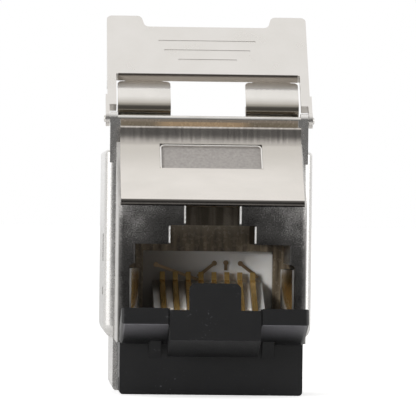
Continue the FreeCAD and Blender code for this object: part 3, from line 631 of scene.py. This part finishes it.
@dataclass(frozen=True)
class LatchFace:
    """The latch's satin metal, with painted shade towards the top of its slope, its catch darkened with
    painted reflection, and the bare matt ground of its label place.
    """

    name: str = "latch"
    roughness: Span = (0.18, 0.27)
    grain_pitch: float = 0.09
    grain_depth: float = 0.004
    wave_pitch: float = 0.8
    wave_depth: float = 0.012

    # the slope, with painted shade towards its top, and the dark seam at its foot
    light: Colour = (0.84, 0.80, 0.755)
    dark: Colour = (0.78, 0.745, 0.70)
    cloud_pitch: float = 1.9
    cloud_stretch: Triple = (0.5, 1.0, 1.0)
    upper_shade: Colour = (0.64, 0.605, 0.56)
    upper_rise: Span = (8.2, 10.9)
    seam: Colour = (0.13, 0.12, 0.11)
    seam_rise: Span = (6.88, 6.80)

    # the label place
    ground: Colour = (0.40, 0.375, 0.355)
    ground_dark: Colour = (0.31, 0.29, 0.275)
    ground_pitch: float = 0.22
    ground_levels: Span = (0.32, 0.68)
    ground_rough: float = 0.30
    ground_dulled: float = 0.7
    half_width: float = 4.0
    label_low: float = 9.25
    label_high: float = 11.08
    label_fade: float = 0.05
    label_side_fade: float = 0.06

    # the brushed catch, darkened with painted reflection
    catch_reflection_dark: Colour = (0.44, 0.41, 0.38)
    catch_reflection_light: Colour = (0.62, 0.58, 0.54)
    brush_pitch: float = 0.22
    brush_stretch: Triple = (1.0, 0.06, 0.06)
    brush_levels: Span = (0.32, 0.66)
    catch_rise: Span = (11.1, 11.6)

    def build(self) -> bpy.types.Material:
        """Returns the material."""
        nodes = Nodes(self.name)
        at = nodes.place()
        fine = nodes.noise(self.grain_pitch)
        cloud = nodes.noise(self.cloud_pitch, stretch=self.cloud_stretch)
        colour = nodes.ramp(cloud, NOISE_MIDDLE, self.dark, self.light)
        # painted shade towards the slope's top
        colour = nodes.blend(nodes.rise(at["Z"], *self.upper_rise), colour, self.upper_shade)
        colour = nodes.blend(nodes.rise(at["Z"], *self.seam_rise), colour, self.seam)
        # the catch's brushed streaks, darkened with painted reflection
        brush = nodes.noise(self.brush_pitch, stretch=self.brush_stretch)
        brushed = nodes.ramp(brush, self.brush_levels, self.catch_reflection_dark, self.catch_reflection_light)
        colour = nodes.blend(nodes.rise(at["Z"], *self.catch_rise), colour, brushed)
        label = nodes.both(nodes.near(at["X"], 0.0, self.half_width - self.label_side_fade, self.half_width),
                           nodes.rise(at["Z"], self.label_low, self.label_low + self.label_fade),
                           nodes.rise(at["Z"], self.label_high + self.label_fade, self.label_high))
        matt = nodes.noise(self.ground_pitch, 5.0)
        ground = nodes.ramp(matt, self.ground_levels, self.ground_dark, self.ground)
        rough = nodes.calc(nodes.spread(fine, self.roughness), nodes.scaled(label, self.ground_rough))
        nodes.dress(nodes.blend(label, colour, ground), rough, nodes.less(label, self.ground_dulled))
        nodes.bump((fine, self.grain_depth), (nodes.noise(self.wave_pitch, 3.0), self.wave_depth))
        return nodes.material


@dataclass(frozen=True)
class LidFinish:
    """The lid's satin plate, with its bare cut edge over the window painted dark with shade along its top and
    lighter towards its underside.
    """

    name: str = "lid"
    light: Colour = (0.83, 0.805, 0.775)
    dark: Colour = (0.78, 0.755, 0.72)
    roughness: Span = (0.26, 0.32)
    wave_pitch: float = 4.0
    wave_depth: float = 0.002
    # the cut edge: painted shade along its top, lighter towards its underside
    cut: Colour = (0.040, 0.032, 0.027)
    cut_underside: Colour = (0.34, 0.30, 0.255)
    cut_underside_rise: Span = (0.32, 0.05)
    cut_rough: float = 0.3
    cut_reach: Span = (0.03, 0.10)
    window_end: float = 4.75
    window_half: float = 7.1

    def build(self) -> bpy.types.Material:
        """Returns the material."""
        nodes = Nodes(self.name)
        at = nodes.place(LID_HINGE, LID_OPEN_ANGLE)
        cloud = nodes.noise(PLATING_CLOUD)
        satin = nodes.ramp(cloud, NOISE_MIDDLE, self.dark, self.light)
        # the window's cut edge: bare, with painted shade along its top and lighter towards its underside
        edge = nodes.both(nodes.near(at["X"], 0.0, self.window_half, self.window_half + FADE),
                          nodes.near(at["Y"], self.window_end, *self.cut_reach))
        cut_tone = nodes.blend(nodes.rise(at["Z"], *self.cut_underside_rise), self.cut, self.cut_underside)
        rough = nodes.calc(nodes.spread(cloud, self.roughness), nodes.scaled(edge, self.cut_rough))
        nodes.dress(nodes.blend(edge, satin, cut_tone), rough, nodes.less(edge, 1.0))
        nodes.bump((nodes.noise(self.wave_pitch, 0.0), self.wave_depth))
        return nodes.material


@dataclass(frozen=True)
class TongueFinish:
    """The tongues' polished sheet, with painted shade where it curls under, and duller at its shoulders."""

    name: str = "tongues"
    light: Colour = (0.86, 0.835, 0.80)
    dark: Colour = (0.80, 0.775, 0.74)
    curl_shade: Colour = (0.36, 0.33, 0.28)
    curl_rise: Span = (3.1, 1.75)
    roughness: Span = (0.14, 0.20)
    shoulder_rise: Span = (3.8, 4.2)
    shoulder_rough: float = 0.28
    cloud_pitch: float = 1.8
    grain_pitch: float = 0.2
    grain_depth: float = 0.0004

    def build(self) -> bpy.types.Material:
        """Returns the material."""
        nodes = Nodes(self.name)
        at = nodes.place(LID_HINGE, LID_OPEN_ANGLE)
        fine = nodes.noise(self.grain_pitch)
        sheet = nodes.ramp(nodes.noise(self.cloud_pitch, 3.0), NOISE_MIDDLE, self.dark, self.light)
        # painted shade where the sheet curls under
        colour = nodes.blend(nodes.rise(at["Y"], *self.curl_rise), sheet, self.curl_shade)
        shoulder = nodes.scaled(nodes.rise(at["Y"], *self.shoulder_rise), self.shoulder_rough)
        nodes.dress(colour, nodes.calc(nodes.spread(fine, self.roughness), shoulder), 1.0)
        nodes.bump((fine, self.grain_depth))
        return nodes.material


@dataclass(frozen=True)
class PlasticFinish:
    """A moulded plastic with a fine matt grain."""

    name: str
    light: Colour
    dark: Colour
    roughness: float
    grain_depth: float = 0.006
    scatter: float = 0.0
    rough_swing: Span = (-0.05, 0.06)
    cloud_pitch: float = 1.8
    grain_pitch: float = 0.09
    scatter_reach: Place = (0.6, 0.5, 0.4)

    def tint(self, nodes: Nodes, colour: Socket) -> Socket:
        """Returns the colour as it is; a special plastic changes it here."""
        return colour

    def build(self) -> bpy.types.Material:
        """Returns the material."""
        nodes = Nodes(self.name)
        fine = nodes.noise(self.grain_pitch, 3.0)
        colour = nodes.ramp(nodes.noise(self.cloud_pitch), NOISE_MIDDLE, self.dark, self.light)
        low, high = self.rough_swing
        rough = nodes.spread(fine, (self.roughness + low, self.roughness + high))
        nodes.dress(self.tint(nodes, colour), rough)
        if self.scatter:
            nodes.shader.inputs["Subsurface Weight"].default_value = self.scatter
            nodes.shader.inputs["Subsurface Radius"].default_value = mm(*self.scatter_reach)
            nodes.shader.inputs["Subsurface Scale"].default_value = 1.0
        nodes.bump((fine, self.grain_depth))
        return nodes.material


@dataclass(frozen=True)
class InsertPlastic(PlasticFinish):
    """The port's white moulding, with painted shade on one side of its back wall."""

    side_shade: Colour = (0.16, 0.13, 0.10)
    side_shade_share: float = 0.8
    sideways: Span = (1.5, -4.5)
    inwards: Span = (6.0, 8.0)

    def tint(self, nodes: Nodes, colour: Socket) -> Socket:
        """Adds the painted shade on one side.

        Args:
            nodes: The material's nodes.
            colour: The clean colour.

        Returns:
            The colour with its soiled side.
        """
        at = nodes.place()
        # painted shadow of the port's left wall, falling on the back wall's left side
        share = nodes.both(nodes.rise(at["X"], *self.sideways), nodes.rise(at["Y"], *self.inwards))
        return nodes.blend(nodes.scaled(share, self.side_shade_share), colour, self.side_shade)


@dataclass(frozen=True)
class DustyPlastic(PlasticFinish):
    """A black plastic with pale flecks of dust in patches."""

    fleck: Colour = (0.10, 0.10, 0.107)
    fleck_pitch: float = 0.22
    fleck_levels: Span = (0.64, 0.76)
    patch_pitch: float = 2.4
    patch_levels: Span = (0.52, 0.62)

    def tint(self, nodes: Nodes, colour: Socket) -> Socket:
        """Adds the flecks.

        Args:
            nodes: The material's nodes.
            colour: The clean colour.

        Returns:
            The colour with its flecks.
        """
        flecks = nodes.remap(nodes.noise(self.fleck_pitch, 2.0), self.fleck_levels)
        patches = nodes.remap(nodes.noise(self.patch_pitch, 2.0), self.patch_levels)
        return nodes.blend(nodes.both(flecks, patches), colour, self.fleck)


@dataclass(frozen=True)
class FlapPlastic(DustyPlastic):
    """The flap's plastic, with painted light on the ledges below its front edge."""

    pivot: Place = (0.0, -0.55, -3.5)
    rest_angle: float = -15.5
    underside: float = -0.78
    underside_fade: float = 0.03
    boss_half: float = 3.5
    boss_fade: float = 0.05
    ledge_light: Colour = (0.12, 0.117, 0.128)
    ledge_light_rise: Span = (-1.0, -6.0)

    def tint(self, nodes: Nodes, colour: Socket) -> Socket:
        """Adds the flecks and the painted light on the ledges.

        Args:
            nodes: The material's nodes.
            colour: The clean colour.

        Returns:
            The colour with its flecks and ledges.
        """
        dusty = super().tint(nodes, colour)
        at = nodes.place(self.pivot, self.rest_angle)
        side = nodes.unsigned(at["X"])
        # painted light on the ledges' undersides, fading towards the hinge
        share = nodes.both(nodes.rise(at["Z"], self.underside + self.underside_fade, self.underside),
                           nodes.rise(side, self.boss_half, self.boss_half + self.boss_fade),
                           nodes.rise(at["Y"], *self.ledge_light_rise))
        return nodes.blend(share, dusty, self.ledge_light)


COAL: Colour = (0.0060, 0.0060, 0.0066)
SOOT: Colour = (0.0042, 0.0042, 0.0048)


class Finish(Enum):
    """The jack's finishes."""

    CAST_FACE = CastFace()
    CAST_BODY = BodyFinish()
    LATCH = LatchFace()
    LID = LidFinish()
    TONGUES = TongueFinish()
    RIM = MetalFinish("rim", (0.90, 0.88, 0.85), (0.84, 0.82, 0.79), Grain.POLISHED, 0.20, 0.001)
    SPRING = MetalFinish("spring", (0.78, 0.76, 0.73), (0.70, 0.68, 0.65), Grain.POLISHED, 0.20)
    PIN = MetalFinish("pin", (0.84, 0.82, 0.79), (0.70, 0.68, 0.64), Grain.POLISHED, 0.22)
    CLAMP = MetalFinish("clamp", (0.80, 0.78, 0.75), (0.72, 0.70, 0.67), Grain.SATIN, 0.32, 0.003)
    GOLD = MetalFinish("gold", (0.95, 0.66, 0.26), (0.72, 0.46, 0.16), Grain.POLISHED, 0.24, metallic=0.72)
    BRONZE = MetalFinish("bronze", (0.42, 0.30, 0.18), (0.20, 0.14, 0.09), Grain.SATIN, 0.32, 0.003)
    BLADE = MetalFinish("blade", (0.78, 0.72, 0.62), (0.62, 0.56, 0.46), Grain.SATIN, 0.28)
    BLACK = DustyPlastic("black", COAL, SOOT, 0.40)
    FLAP = FlapPlastic("flap", COAL, SOOT, 0.40)
    INSERT = InsertPlastic("insert", (0.88, 0.87, 0.85), (0.82, 0.81, 0.79), 0.40, 0.004, 0.15)
    WHITE = PlasticFinish("white", (0.80, 0.79, 0.77), (0.74, 0.73, 0.71), 0.42, 0.005, 0.1)
    BOARD = PlasticFinish("board", (0.030, 0.150, 0.060), (0.018, 0.105, 0.040), 0.35, 0.004)


class Palette:
    """Builds each finish once and hands it out."""

    def __init__(self) -> None:
        """Starts with no material built."""
        self._built: dict[Finish, bpy.types.Material] = {}

    def get(self, finish: Finish) -> bpy.types.Material:
        """Builds a finish's material, if it isn't built yet.

        Args:
            finish: The finish.

        Returns:
            The material.
        """
        if finish not in self._built:
            self._built[finish] = finish.value.build()
        return self._built[finish]

    def dress(self, piece: bpy.types.Object, finish: Finish) -> None:
        """Gives a whole piece one finish.

        Args:
            piece: The piece to dress.
            finish: The finish.
        """
        material = self.get(finish)
        if not piece.material_slots:
            piece.data.materials.append(material)
        for slot in piece.material_slots:
            slot.material = material


# ---- modelling helpers -------------------------------------------------------------------


def start_clean() -> None:
    """Leaves edit mode with nothing selected."""
    if bpy.context.object and bpy.context.object.mode != "OBJECT":
        bpy.ops.object.mode_set(mode="OBJECT")
    bpy.ops.object.select_all(action="DESELECT")


def size_up(piece: bpy.types.Object, name: str, size: Vector) -> None:
    """Names a new primitive, brings it to its size and opens it in edit mode.

    Args:
        piece: The primitive, of size one.
        name: Its name.
        size: Its size along each axis.
    """
    piece.name = name
    piece.scale = size
    bpy.ops.object.transform_apply(location=True, rotation=True, scale=True)
    bpy.ops.object.mode_set(mode="EDIT")


def set_down(piece: bpy.types.Object, origin: Place, tilt: float) -> bpy.types.Object:
    """Lays a piece made in a tilted frame into its place on the object and mends its normals.

    Args:
        piece: The piece, made about the frame's origin.
        origin: The frame's origin in millimetres.
        tilt: The frame's angle about X in degrees.

    Returns:
        The same piece.
    """
    piece.location = mm(*origin)
    piece.rotation_euler = (math.radians(tilt), 0.0, 0.0)
    start_clean()
    piece.select_set(True)
    bpy.context.view_layer.objects.active = piece
    bpy.ops.object.transform_apply(location=True, rotation=True, scale=True)
    bpy.ops.object.mode_set(mode="EDIT")
    bpy.ops.mesh.select_all(action="SELECT")
    bpy.ops.mesh.remove_doubles(threshold=SAME_POINT)
    bpy.ops.mesh.normals_make_consistent(inside=False)
    bpy.ops.object.mode_set(mode="OBJECT")
    bpy.ops.object.shade_smooth_by_angle(angle=math.radians(SMOOTH_ANGLE))
    return piece


def select_corners(piece: bpy.types.Object, test: Callable[[Vector], bool]) -> None:
    """Selects the corners whose place passes a test, in edit mode.

    Args:
        piece: The piece in edit mode.
        test: Takes a corner's place in metres.
    """
    bpy.ops.mesh.select_mode(type="VERT")
    bpy.ops.mesh.select_all(action="DESELECT")
    mesh = bmesh.from_edit_mesh(piece.data)
    for corner in mesh.verts:
        corner.select_set(test(corner.co))
    bmesh.update_edit_mesh(piece.data)


def select_faces(piece: bpy.types.Object, test: Callable[[Vector], bool]) -> None:
    """Selects the faces whose middle passes a test, in edit mode.

    Args:
        piece: The piece in edit mode.
        test: Takes a face's middle in metres.
    """
    bpy.ops.mesh.select_mode(type="FACE")
    bpy.ops.mesh.select_all(action="DESELECT")
    mesh = bmesh.from_edit_mesh(piece.data)
    for face in mesh.faces:
        face.select_set(test(face.calc_center_median()))
    bmesh.update_edit_mesh(piece.data)


# ---- studio ------------------------------------------------------------------------------


@dataclass(frozen=True)
class Softbox:
    """A soft square lamp."""

    name: str
    place: Place                # in millimetres
    side: float                 # in metres
    radiance: float             # how bright its face looks, where one is white
    aim: Place = (0.0, 6.0, 5.0)
    glints: bool = True

    def hang(self) -> None:
        """Hangs the lamp and points it."""
        data = bpy.data.lights.new(self.name, "AREA")
        data.size = self.side
        data.energy = self.radiance * math.pi * self.side**2
        lamp = bpy.data.objects.new(self.name, data)
        bpy.context.scene.collection.objects.link(lamp)
        lamp.location = mm(*self.place)
        lamp.rotation_euler = (mm(*self.aim) - mm(*self.place)).to_track_quat("-Z", "Y").to_euler()
        lamp.visible_glossy = self.glints


@dataclass
class Studio:
    """The pale floor, the soft light and the camera."""

    floor_z: float
    half_floor: float = 3.0
    floor_colour: Colour = (0.86, 0.86, 0.86)
    floor_roughness: float = 0.9
    floor_sheen: float = 0.1
    floor_lift: float = 0.5
    floor_dims: Span = (-35.0, -90.0)       # where the mirrored floor begins to dim, and where it is dim
    front_shade: float = 0.15
    side_light: float = 0.72
    front_rise: Span = (0.97, 0.55)         # a ray's forward part where the dim is full, and where it ends
    backdrop_rise: Span = (0.25, 0.8)       # its backward part where the white begins, and where it is full
    daylight: Colour = (1.0, 0.995, 0.985)
    lamps: tuple[Softbox, ...] = (
        Softbox("overhead", (0.0, 30.0, 260.0), 0.22, 0.22),
        Softbox("right_side", (240.0, -60.0, 40.0), 0.20, 1.3),
        Softbox("left_side", (-240.0, -60.0, 40.0), 0.20, 1.0),
        Softbox("port_fill", (-210.0, -230.0, 60.0), 0.08, 34.0, (0.0, 0.0, 0.0), glints=False),
    )
    camera_distance: float = 350.0
    camera_azimuth: float = -2.5
    camera_roll: float = 0.69
    aim: Place = (-0.385, 0.0, 6.2)
    view_width: float = 32.0                # in millimetres, at the jack
    sensor: float = 36.0

    def build(self) -> None:
        """Builds the floor, world, lights and camera."""
        self.floor()
        self.world()
        for lamp in self.lamps:
            lamp.hang()
        self.camera()

    def floor(self) -> None:
        """Lays the floor, white to the camera, pale to the light and dim where the jack mirrors its front."""
        start_clean()
        bpy.ops.mesh.primitive_plane_add(size=2 * self.half_floor, location=(0, 0, self.floor_z))
        floor = bpy.context.object
        floor.name = "studio_floor"
        nodes = Nodes("studio_floor")
        nodes.dress(self.floor_colour, self.floor_roughness)
        nodes.shader.inputs["Specular IOR Level"].default_value = self.floor_sheen
        floor.data.materials.append(nodes.material)
        plain = nodes.shader.outputs["BSDF"]
        path = nodes.add("ShaderNodeLightPath")
        seen = nodes.calc(path.outputs["Is Camera Ray"], path.outputs["Is Transmission Ray"], "MAXIMUM")
        lifted = nodes.add("ShaderNodeAddShader")
        nodes.link(plain, lifted.inputs[0])
        nodes.link(nodes.glow("ShaderNodeEmission", self.floor_lift), lifted.inputs[1])
        dim = nodes.glow("ShaderNodeEmission", self.front_shade)
        ahead = nodes.both(nodes.rise(nodes.place()["Y"], *self.floor_dims), path.outputs["Is Glossy Ray"])
        shown = nodes.choose(seen, nodes.choose(ahead, plain, dim), lifted.outputs[0])
        nodes.link(shown, nodes.output.inputs["Surface"])
        floor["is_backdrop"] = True

    def world(self) -> None:
        """Makes a surround that is white behind the jack, and dim in front as behind a camera."""
        world = bpy.data.worlds.new("studio")
        bpy.context.scene.world = world
        world.use_nodes = True
        graph = Graph(world.node_tree)
        split = graph.add("ShaderNodeSeparateXYZ")
        graph.link(graph.add("ShaderNodeTexCoord").outputs["Generated"], split.inputs[0])
        back = split.outputs["Y"]
        strength = graph.remap(graph.scaled(back, -1.0), self.front_rise,
                               (self.front_shade, self.side_light), Curve.SMOOTHER)
        dome = graph.glow("ShaderNodeBackground", strength, self.daylight)
        white = graph.glow("ShaderNodeBackground", 1.0)
        path = graph.add("ShaderNodeLightPath")
        mirrored = graph.calc(path.outputs["Is Glossy Ray"], path.outputs["Is Transmission Ray"], "MAXIMUM")
        backdrop = graph.both(mirrored, graph.remap(back, self.backdrop_rise, curve=Curve.SMOOTH))
        seen = graph.calc(path.outputs["Is Camera Ray"], backdrop, "MAXIMUM")
        output = graph.add("ShaderNodeOutputWorld")
        graph.link(graph.choose(seen, dome, white), output.inputs["Surface"])

    def camera(self) -> None:
        """Sets the camera level with the top of the port, far off, a little to the left."""
        data = bpy.data.cameras.new("camera")
        data.sensor_width = self.sensor
        data.lens = self.camera_distance * self.sensor / self.view_width
        data.clip_start = 0.01
        camera = bpy.data.objects.new("camera", data)
        bpy.context.scene.collection.objects.link(camera)
        turn = math.radians(self.camera_azimuth)
        away = Vector((math.sin(turn), -math.cos(turn), 0.0)) * self.camera_distance * MM
        camera.location = mm(*self.aim) + away
        look = (-away).to_track_quat("-Z", "Y").to_matrix().to_4x4()
        roll = Matrix.Rotation(math.radians(self.camera_roll), 4, "Z")
        camera.rotation_euler = (look @ roll).to_euler()
        bpy.context.scene.camera = camera


# ---- the jack's sub-assemblies -----------------------------------------------------------


@dataclass
class SubAssembly:
    """A group of the jack's pieces that share a maker's hand."""

    palette: Palette
    nodes: dict[str, bpy.types.Object]
    finishes: dict[str, Finish] = field(default_factory=dict)

    def build(self) -> None:
        """Dresses each named node with its finish."""
        for node, finish in self.finishes.items():
            self.palette.dress(self.nodes[node], finish)
            LOG.info("%s dressed in %s", node, finish.value.name)


@dataclass
class Castings(SubAssembly):
    """The two housings and the panel latch."""

    finishes: dict[str, Finish] = field(default_factory=lambda: {
        "front_housing": Finish.CAST_FACE, "rear_housing": Finish.CAST_BODY, "latch_leaf": Finish.LATCH})

    leaf_foot: Place = (0.0, 0.1466, 6.8517)
    leaf_angle: float = 40.3
    label_size: tuple[float, float] = (7.98, 2.88)
    label_along: float = 5.15
    label_floor: float = -0.15
    rim_width: float = 0.12
    rim_proud: float = 0.035
    rim_corner: float = 0.4
    rim_soft: float = 0.03

    def build(self) -> None:
        """Dresses the castings and adds the label place's rim."""
        super().build()
        rim = self.label_rim()
        self.palette.dress(rim, Finish.RIM)
        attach(rim, "latch")
        LOG.info("%s added", rim.name)

    def label_rim(self) -> bpy.types.Object:
        """Makes the bright lip along the label place's sides and top.

        Returns:
            The rim.
        """
        width, length = self.label_size
        start_clean()
        bpy.ops.mesh.primitive_plane_add(size=1.0, location=mm(0, self.label_along, self.label_floor))
        rim = bpy.context.object
        size_up(rim, "label_rim", Vector((width * MM, length * MM, 1.0)))
        select_corners(rim, lambda corner: corner.y > self.label_along * MM)
        bpy.ops.mesh.bevel(offset=self.rim_corner * MM, segments=5, affect="VERTICES")
        select_faces(rim, lambda middle: True)
        bpy.ops.mesh.inset(thickness=self.rim_width * MM)
        bpy.ops.mesh.delete(type="FACE")
        low = (self.label_along - length / 2 + self.rim_width) * MM
        select_faces(rim, lambda middle: middle.y < low)
        bpy.ops.mesh.delete(type="FACE")
        bpy.ops.object.mode_set(mode="OBJECT")
        wall = rim.modifiers.new("wall", "SOLIDIFY")
        wall.thickness = (self.rim_proud - self.label_floor) * MM
        wall.offset = 1.0
        bpy.ops.object.modifier_apply(modifier="wall")
        soft = rim.modifiers.new("soft", "BEVEL")
        soft.width = self.rim_soft * MM
        soft.segments = 2
        bpy.ops.object.modifier_apply(modifier="soft")
        return set_down(rim, self.leaf_foot, self.leaf_angle)


@dataclass
class LidGroup(SubAssembly):
    """The lid, its sheet spring and its pin."""

    finishes: dict[str, Finish] = field(default_factory=lambda: {
        "lid": Finish.LID, "lid_spring": Finish.TONGUES, "lid_hinge_pin": Finish.PIN})

    grip_lengths: tuple[float, ...] = (4.65, 6.85, 7.75)
    grip_start: float = 6.46
    grip_pitch: float = 1.09
    grip_width: float = 0.15
    grip_floor: float = 0.30
    grip_height: float = 0.08
    grip_round: float = 0.03

    def build(self) -> None:
        """Dresses the lid and fills the bottoms of its grip lines."""
        super().build()
        for number, length in enumerate(self.grip_lengths):
            line = self.grip_line(number, length)
            self.palette.dress(line, Finish.LID)
            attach(line, "lid_assembly")
            LOG.info("%s added", line.name)

    def grip_line(self, number: int, length: float) -> bpy.types.Object:
        """Makes the rounded bottom of one grip line.

        Args:
            number: Which line, counted from nought nearest the hinge.
            length: The line's length in millimetres.

        Returns:
            The piece.
        """
        run = self.grip_start + number * self.grip_pitch
        start_clean()
        bpy.ops.mesh.primitive_cube_add(size=1.0, location=mm(0, run, self.grip_floor + self.grip_height / 2))
        line = bpy.context.object
        size_up(line, f"grip_line_{number + 1}", mm(length, self.grip_width, self.grip_height))
        bpy.ops.mesh.select_all(action="SELECT")
        bpy.ops.mesh.bevel(offset=self.grip_round * MM, segments=3, affect="EDGES")
        bpy.ops.object.mode_set(mode="OBJECT")
        return set_down(line, LID_HINGE, LID_OPEN_ANGLE)


@dataclass
class BlackParts(SubAssembly):
    """The base block and the dust flap with its pin."""

    finishes: dict[str, Finish] = field(default_factory=lambda: {
        "base_block": Finish.BLACK, "dust_flap": Finish.FLAP, "dust_flap_pin": Finish.BLACK})


@dataclass
class Port(SubAssembly):
    """The insert, the contacts, their crossover wires and the shield springs."""

    contacts: int = 8
    crossovers: int = 4
    finishes: dict[str, Finish] = field(default_factory=lambda: {
        "contact_insert": Finish.INSERT,
        "shield_spring_left": Finish.SPRING, "shield_spring_right": Finish.SPRING})

    def build(self) -> None:
        """Dresses the pieces, with the contacts and crossover wires."""
        for number in range(1, self.contacts + 1):
            self.finishes[f"contact_{number}"] = Finish.GOLD
        for number in range(1, self.crossovers + 1):
            self.finishes[f"crossover_wire_{number}"] = Finish.BRONZE
        super().build()


@dataclass
class Termination(SubAssembly):
    """The board, the blades, their housing, the wire manager, the cable's clamp and the earth spring."""

    blades: int = 8
    finishes: dict[str, Finish] = field(default_factory=lambda: {
        "circuit_board": Finish.BOARD, "idc_housing": Finish.WHITE, "wire_manager": Finish.WHITE,
        "cable_clamp": Finish.CLAMP, "earth_spring": Finish.SPRING})

    def build(self) -> None:
        """Dresses the pieces, blades included."""
        for number in range(1, self.blades + 1):
            self.finishes[f"idc_blade_{number}"] = Finish.BLADE
        super().build()


def main() -> None:
    """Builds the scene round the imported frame."""
    logging.basicConfig(level=logging.INFO, format="%(message)s")
    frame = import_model()
    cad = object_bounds()
    bpy.context.scene.view_settings.view_transform = "Standard"
    Studio(floor_z=cad[0][2]).build()
    palette = Palette()
    for group in (Castings, LidGroup, BlackParts, Port, Termination):
        group(palette, frame["nodes"]).build()


if __name__ == "__main__":
    main()
